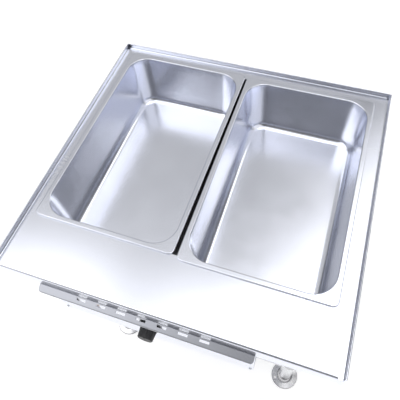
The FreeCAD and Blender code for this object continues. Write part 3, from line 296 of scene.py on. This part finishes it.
SLOTS = {
    # The control box's steel is the satin steel darkened: painted shade.
    "hood_painted_shade_stainless": rolled_steel("hood_painted_shade_stainless", tone(0.41, 0.42, 0.46), tone(0.39, 0.40, 0.44),
                                   0.34, ALONG_X),
    "satin_stainless": rolled_steel("satin_stainless", tone(0.765, 0.785, 0.86), tone(0.75, 0.77, 0.845),
                                    0.26, ALONG_X),
    "pan_stainless": drawn_steel("pan_stainless", tone(0.78, 0.80, 0.875), tone(0.762, 0.782, 0.857), 0.24),
    "bath_stainless": rolled_steel("bath_stainless", tone(0.62, 0.63, 0.66), tone(0.57, 0.57, 0.59), 0.34,
                                   EVENLY, smear=0.05),
    "galvanised_steel": galvanised("galvanised_steel"),
    "shelf_stainless": rolled_steel("shelf_stainless", tone(0.72, 0.73, 0.76), tone(0.68, 0.69, 0.72), 0.30,
                                    ALONG_X, smear=0.04),
    "leg_tube": rolled_steel("leg_tube", tone(0.72, 0.73, 0.75), tone(0.69, 0.70, 0.72), 0.20, ALONG_Z),
    "nickel_foot": plated("nickel_foot", tone(0.66, 0.66, 0.67), tone(0.58, 0.58, 0.60), 0.24),
    "cast_clamp": sandcast("cast_clamp"),
    "zinc_fasteners": plated("zinc_fasteners", tone(0.70, 0.71, 0.72), tone(0.58, 0.60, 0.64), 0.30),
    "element_sheath": heated_sheath("element_sheath"),
    "mineral_wool": mineral_wool("mineral_wool"),
    "gasket_rubber": moulded("gasket_rubber", tone(0.035, 0.035, 0.036), tone(0.08, 0.08, 0.08), 0.70, 700.0),
    "brass": tarnished("brass", tone(0.76, 0.57, 0.26), tone(0.46, 0.33, 0.16), 0.26),
    "chrome_ball": plated("chrome_ball", tone(0.78, 0.78, 0.79), tone(0.74, 0.74, 0.76), 0.08, 0.02),
    "chrome_bezel": plated("chrome_bezel", tone(0.78, 0.78, 0.79), tone(0.72, 0.72, 0.74), 0.10, 0.02),
    "copper_line": tarnished("copper_line", tone(0.74, 0.40, 0.27), tone(0.42, 0.22, 0.15), 0.30),
    "black_plastic": moulded("black_plastic", tone(0.022, 0.022, 0.024), tone(0.07, 0.07, 0.075), 0.46),
    "rocker_plastic": moulded("rocker_plastic", tone(0.030, 0.030, 0.034), tone(0.09, 0.09, 0.095),
                              0.26, 400.0, 0.00001),
    "white_plastic": moulded("white_plastic", tone(0.74, 0.73, 0.69), tone(0.84, 0.83, 0.79), 0.42),
    "red_plastic": moulded("red_plastic", tone(0.52, 0.035, 0.030), tone(0.66, 0.16, 0.13), 0.32),
    "amber_lens": moulded("amber_lens", tone(0.85, 0.38, 0.04), tone(0.92, 0.55, 0.16), 0.14, 300.0, 0.00001,
                          Transmission_Weight=0.55, IOR=1.49),
    "wire_sleeve": moulded("wire_sleeve", tone(0.32, 0.09, 0.05), tone(0.48, 0.20, 0.14), 0.50, 900.0),
}


def paint_cad_nodes():
    """Each CAD node takes its record slot's finish, except the control box, which takes a darker copy of the
    satin steel as painted shade.
    """
    slot_of = {row["node"]: row["material_slot"] for row in frame["record"]["subparts"]}
    for name, node in NODES.items():
        node.data.materials.clear()
        node.data.materials.append(SLOTS[slot_of[name]])
    hood = NODES["control_box"].data.materials
    hood.clear()
    hood.append(SLOTS["hood_painted_shade_stainless"])


# ---------------------------------------------------------------- piece building

def add_piece(name, points, faces, slot, body, smooth=True):
    """A closed mesh that rides on a CAD body and takes a record slot's finish."""
    mesh = bpy.data.meshes.new(name)
    mesh.from_pydata(points, [], faces)
    shell = bmesh.new()
    shell.from_mesh(mesh)
    bmesh.ops.recalc_face_normals(shell, faces=shell.faces)
    shell.to_mesh(mesh)
    shell.free()
    if smooth:
        mesh.shade_smooth()
    mesh.materials.append(SLOTS[slot])
    made = bpy.data.objects.new(name, mesh)
    bpy.context.scene.collection.objects.link(made)
    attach(made, body)
    return made


def skin(loops):
    """Quads between matching rings of points, with a face across the first ring and the last."""
    points = [point for loop in loops for point in loop]
    count = len(loops[0])
    faces = [tuple(range(count)), tuple(range(len(points) - count, len(points)))]
    for row in range(len(loops) - 1):
        here, there = row * count, (row + 1) * count
        for i in range(count):
            j = (i + 1) % count
            faces.append((here + i, here + j, there + j, there + i))
    return points, faces


# ---------------------------------------------------------------- the two pans

PAN_WIDTH = 0.325
PAN_LENGTH = 0.530
PAN_DEPTH = 0.150
PAN_SHEET = 0.0008
PAN_FLANGE = 0.0115
PAN_TAPER = 0.011
RIM_CORNER = 0.013
RIM_EDGE = 0.0016
MOUTH_CORNER = 0.052
MOUTH_ROLL = 0.0023
FLOOR_CORNER = 0.042
FLOOR_FILLET = 0.018
DECK_Z = 0.860
PAN_TURNS = {"pan_left": -0.36, "pan_right": 0.05}
CORNER_STEPS = 14
SHORT_STEPS = 10
LONG_STEPS = 16
ARC_STEPS = 8


def rounded_loop(half_x, half_y, radius, height):
    """Points anticlockwise round a rounded rectangle, the same count at any size."""
    loop = []
    for corner, (side_x, side_y) in enumerate(((1, 1), (-1, 1), (-1, -1), (1, -1))):
        centre_x = side_x * (half_x - radius)
        centre_y = side_y * (half_y - radius)
        for step in range(CORNER_STEPS + 1):
            turn = (corner + step / CORNER_STEPS) * math.pi / 2
            loop.append((centre_x + radius * math.cos(turn), centre_y + radius * math.sin(turn), height))
        straight = SHORT_STEPS if corner % 2 == 0 else LONG_STEPS
        length = 2 * (half_x - radius if corner % 2 == 0 else half_y - radius)
        along_x, along_y = ((-1, 0), (0, -1), (1, 0), (0, 1))[corner]
        start_x, start_y, _ = loop[-1]
        for step in range(1, straight):
            run = length * step / straight
            loop.append((start_x + along_x * run, start_y + along_y * run, height))
    return loop


def pan_section(rise, under):
    """(inset, corner radius, height over the deck) from the rim's edge to the middle of the floor.

    under is 0 for the inside face of the sheet, or the sheet's thickness for its other face.
    """
    lean = PAN_TAPER / PAN_DEPTH
    tilt = math.atan(lean)
    floor = rise - PAN_DEPTH + PAN_SHEET

    def wall_corner(height):
        return MOUTH_CORNER - (MOUTH_CORNER - FLOOR_CORNER) * (rise - height) / PAN_DEPTH + under

    rows = [(under, RIM_CORNER - under, 0.0)]
    for step in range(ARC_STEPS + 1):
        turn = math.pi / 2 * step / ARC_STEPS
        inset = RIM_EDGE - (RIM_EDGE - under) * math.cos(turn)
        rows.append((inset, RIM_CORNER - inset, rise - RIM_EDGE + (RIM_EDGE - under) * math.sin(turn)))
    rows.append((RIM_EDGE + 0.0004, RIM_CORNER - RIM_EDGE - 0.0004, rise - under))

    roll_centre = PAN_FLANGE + lean * MOUTH_ROLL * (1 - math.sin(tilt)) - MOUTH_ROLL * math.cos(tilt)
    rows.append((roll_centre - 0.0004, MOUTH_CORNER + PAN_FLANGE - roll_centre, rise - under))
    for step in range(ARC_STEPS + 1):
        turn = (math.pi / 2 - tilt) * step / ARC_STEPS
        inset = roll_centre + (MOUTH_ROLL - under) * math.sin(turn)
        height = rise - MOUTH_ROLL + (MOUTH_ROLL - under) * math.cos(turn)
        still_rolling = PAN_FLANGE - inset if step < ARC_STEPS else 0.0
        rows.append((inset, wall_corner(height) + still_rolling, height))

    low = floor + FLOOR_FILLET * (1 - math.sin(tilt))
    low_inset = PAN_FLANGE + lean * (rise - low)
    high_inset, _, high = rows[-1]
    for step in range(1, 6):
        height = high + (low - high) * step / 6
        rows.append((high_inset + (low_inset - high_inset) * step / 6,
                     wall_corner(height), height))
    fillet_centre = low_inset + FLOOR_FILLET * math.cos(tilt)
    for step in range(ARC_STEPS * 2 + 1):
        turn = tilt + (math.pi / 2 - tilt) * step / (ARC_STEPS * 2)
        inset = fillet_centre - (FLOOR_FILLET + under) * math.cos(turn)
        height = floor + FLOOR_FILLET - (FLOOR_FILLET + under) * math.sin(turn)
        rows.append((inset, wall_corner(low) - (inset - low_inset) - under, height))
    for inset in (fillet_centre + 0.001, 0.060, 0.090, 0.120, 0.150):
        rows.append((inset, max(0.004, wall_corner(low) - (inset - low_inset)), floor - under))
    return rows


def drawn_pan(node):
    low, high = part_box(node)
    middle = (low + high) / 2
    turn = math.radians(PAN_TURNS[node])
    rise = high.z - DECK_Z
    rows = pan_section(rise, 0.0)[::-1] + pan_section(rise, PAN_SHEET)
    loops = []
    for inset, radius, height in rows:
        flat = rounded_loop(PAN_WIDTH / 2 - inset, PAN_LENGTH / 2 - inset, radius, DECK_Z + height)
        loops.append([(middle.x + x * math.cos(turn) - y * math.sin(turn),
                       middle.y + x * math.sin(turn) + y * math.cos(turn), z) for x, y, z in flat])
    points, faces = skin(loops)
    made = add_piece(node + "_drawn", points, faces, "pan_stainless", node)
    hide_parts(node)


# ---------------------------------------------------------------- insulation

WOOL_CELL = 0.005
WOOL_SINK = 0.0005
WOOL_DENT = 0.0022


def matted_wool(node):
    """Uneven fibre batt in place of a smooth block: its skin is dented inwards everywhere."""
    batt = bpy.data.objects.new(node + "_batt", NODES[node].data.copy())
    bpy.context.scene.collection.objects.link(batt)
    cells = batt.modifiers.new("cells", "REMESH")
    cells.mode = "VOXEL"
    cells.voxel_size = WOOL_CELL
    mesh = bpy.data.meshes.new_from_object(batt.evaluated_get(bpy.context.evaluated_depsgraph_get()))
    batt.modifiers.clear()
    batt.data = mesh
    sinks = []
    for vertex in mesh.vertices:
        dent = 0.5 + 0.5 * noise.fractal(vertex.co * 45.0, 0.8, 2.1, 4)
        sinks.append(vertex.normal * (WOOL_SINK + WOOL_DENT * min(1.0, max(0.0, dent))))
    for vertex, sink in zip(mesh.vertices, sinks):
        vertex.co -= sink
    mesh.shade_smooth()
    mesh.materials.clear()
    mesh.materials.append(SLOTS["mineral_wool"])
    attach(batt, "table")
    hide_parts(node)


# ---------------------------------------------------------------- dial

DIAL_MARKS = 11
DIAL_SWEEP = 270.0
DIAL_IN = 0.0275
DIAL_OUT = 0.0315
DIAL_WIDTH = 0.0009
DIAL_PROUD = 0.00015
BLOCK_FACES = ((0, 1, 2, 3), (4, 5, 6, 7), (0, 1, 5, 4), (1, 2, 6, 5), (2, 3, 7, 6), (3, 0, 4, 7))


def dial_marks():
    """Raised ink marks on the fascia round the knob, evenly spread over its sweep."""
    low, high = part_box("thermostat_knob")
    middle = (low + high) / 2
    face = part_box("control_fascia")[0].y
    points, faces = [], []
    for mark in range(DIAL_MARKS):
        turn = math.radians(DIAL_SWEEP * (mark / (DIAL_MARKS - 1) - 0.5))
        out = Vector((math.sin(turn), 0.0, math.cos(turn)))
        side = Vector((math.cos(turn), 0.0, -math.sin(turn))) * (DIAL_WIDTH / 2)
        end = DIAL_OUT if mark % 5 == 0 else DIAL_OUT - 0.0012
        start = len(points)
        for depth in (0.00005, -DIAL_PROUD):
            for reach, sign in ((DIAL_IN, -1), (DIAL_IN, 1), (end, 1), (end, -1)):
                spot = Vector((middle.x, face + depth, middle.z)) + out * reach + side * sign
                points.append(tuple(spot))
        for a, b, c, d in BLOCK_FACES:
            faces.append((start + a, start + b, start + c, start + d))
    add_piece("dial_marks", points, faces, "black_plastic", "table", smooth=False)


# ---------------------------------------------------------------- stage, light and camera

def floor():
    mesh = bpy.data.meshes.new("floor")
    reach = FLOOR_REACH
    corners = [(-reach, -reach, 0), (reach, -reach, 0), (reach, reach, 0), (-reach, reach, 0)]
    mesh.from_pydata(corners, [], [(0, 1, 2, 3)])
    made = bpy.data.objects.new("floor", mesh)
    bpy.context.scene.collection.objects.link(made)
    graph = Graph("pale_floor", Emission_Color=tone(1.0, 1.0, 1.0), Emission_Strength=FLOOR_GLOW)
    speckle = graph.noise(graph.places(), 60.0)
    paint = graph.blend(speckle, tone(0.90, 0.90, 0.90), tone(0.93, 0.93, 0.93))
    mesh.materials.append(graph.finish(paint, 0.8))


def softbox(name, azimuth, elevation, width, height, radiance):
    """A soft rectangular light on the studio dome, facing the deck. Azimuth runs from +X towards +Y."""
    around, up = math.radians(azimuth), math.radians(elevation)
    outwards = Vector((math.cos(up) * math.cos(around), math.cos(up) * math.sin(around), math.sin(up)))
    lamp = bpy.data.lights.new(name, "AREA")
    lamp.shape = "RECTANGLE"
    lamp.size = width
    lamp.size_y = height
    lamp.energy = radiance * math.pi * width * height
    made = bpy.data.objects.new(name, lamp)
    made.location = DECK_MIDDLE + outwards * DOME_RADIUS
    made.rotation_euler = (-outwards).to_track_quat("-Z", "Y").to_euler()
    made.visible_camera = False
    bpy.context.scene.collection.objects.link(made)


def studio_lights():
    """Key and fill either side of the front, an edge strip and a weak fill at the back, one overhead."""
    softbox("key_front_left", FRONT - FRONT_SWING, BANK_RISE, BANK, BANK, KEY_LIGHT)
    softbox("fill_front_right", FRONT + FRONT_SWING, BANK_RISE, BANK, BANK, KEY_LIGHT / 2)
    softbox("edge_back_right", BACK - BACK_SWING, STRIP_RISE, STRIP, 2 * BANK, KEY_LIGHT)
    softbox("fill_back_left", BACK + BACK_SWING, BANK_RISE, BANK, BANK, KEY_LIGHT / 4)
    softbox("overhead", FRONT, 90, BANK / 2, BANK / 2, KEY_LIGHT)


def world():
    """Dim all round, with a paler band along the horizon."""
    made = bpy.data.worlds.new("studio")
    bpy.context.scene.world = made
    made.use_nodes = True
    tree = made.node_tree
    background = tree.nodes["Background"]
    direction = tree.nodes.new("ShaderNodeTexCoord").outputs["Generated"]
    parts = tree.nodes.new("ShaderNodeSeparateXYZ")
    tree.links.new(direction, parts.inputs["Vector"])
    band = tree.nodes.new("ShaderNodeMapRange")
    tree.links.new(parts.outputs["Z"], band.inputs["Value"])
    band.inputs["From Min"].default_value = 0.0
    band.inputs["From Max"].default_value = HORIZON_TOP
    band.inputs["To Min"].default_value = HORIZON_LIGHT
    band.inputs["To Max"].default_value = SKY_LIGHT
    tree.links.new(band.outputs["Result"], background.inputs["Strength"])
    background.inputs["Color"].default_value = tone(0.97, 0.98, 1.0)


def camera():
    lens = bpy.data.cameras.new("camera")
    lens.lens = CAMERA_LENS
    lens.sensor_width = 36.0
    lens.shift_x, lens.shift_y = CAMERA_SHIFT
    lens.clip_end = 60.0
    made = bpy.data.objects.new("camera", lens)
    made.location = CAMERA_PLACE
    made.rotation_euler = Euler([math.radians(angle) for angle in CAMERA_TURN], "XYZ")
    bpy.context.scene.collection.objects.link(made)
    bpy.context.scene.camera = made


paint_cad_nodes()
for pan in PAN_TURNS:
    drawn_pan(pan)
for wool in ("side_insulation", "floor_insulation"):
    matted_wool(wool)
dial_marks()

floor()
world()
studio_lights()
camera()
bpy.context.scene.view_settings.view_transform = "Standard"
